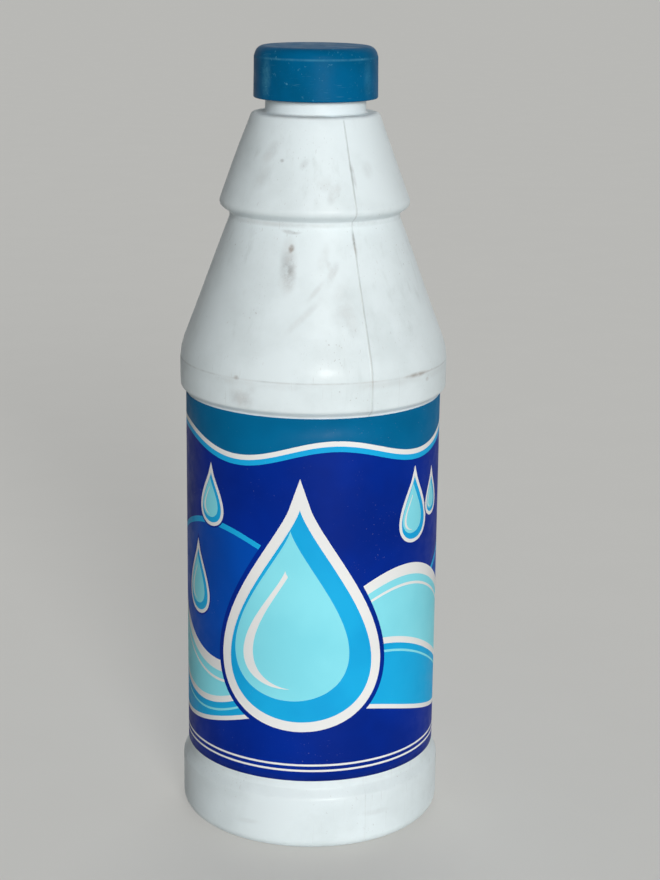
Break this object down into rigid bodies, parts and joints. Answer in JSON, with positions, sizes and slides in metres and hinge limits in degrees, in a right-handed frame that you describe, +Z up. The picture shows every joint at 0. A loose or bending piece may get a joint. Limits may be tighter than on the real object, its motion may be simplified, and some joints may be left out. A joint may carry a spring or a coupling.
{
  "type": "bleach bottle",
  "caption": "Round plastic bottle with a stepped conical shoulder, recessed wrap-around label and screw cap, for storing and pouring liquid bleach.",
  "frame": {"origin": "centre of the standing ring under the base", "axes": "+Z up along the bottle's axis, with the front of the label facing -Y"},
  "size_m": [0.068, 0.068, 0.2007],
  "materials": {
    "bottle_plastic": "satin",
    "cap_plastic": "satin",
    "liner_foam": "matte",
    "label_paper": "satin"
  },
  "bodies": {
    "bottle": {"bottle": "bottle_plastic", "label": "label_paper"},
    "liner": {"cap_liner": "liner_foam"},
    "cap": {"cap": "cap_plastic"}
  },
  "joints": [
    {"name": "cap_rise", "type": "slide", "parent": "bottle", "child": "liner", "axis": [0, 0, 1], "range_m": [0, 0.0128]},
    {"name": "cap_turn", "type": "hinge", "parent": "liner", "child": "cap", "pos_m": [0, 0, 0.1981], "axis": [0, 0, 1], "range_deg": [0, 1080]}
  ],
  "couplings": [
    {"joint": "cap_rise", "follows": "cap_turn", "m_per_rad": 0.00067376}
  ]
}
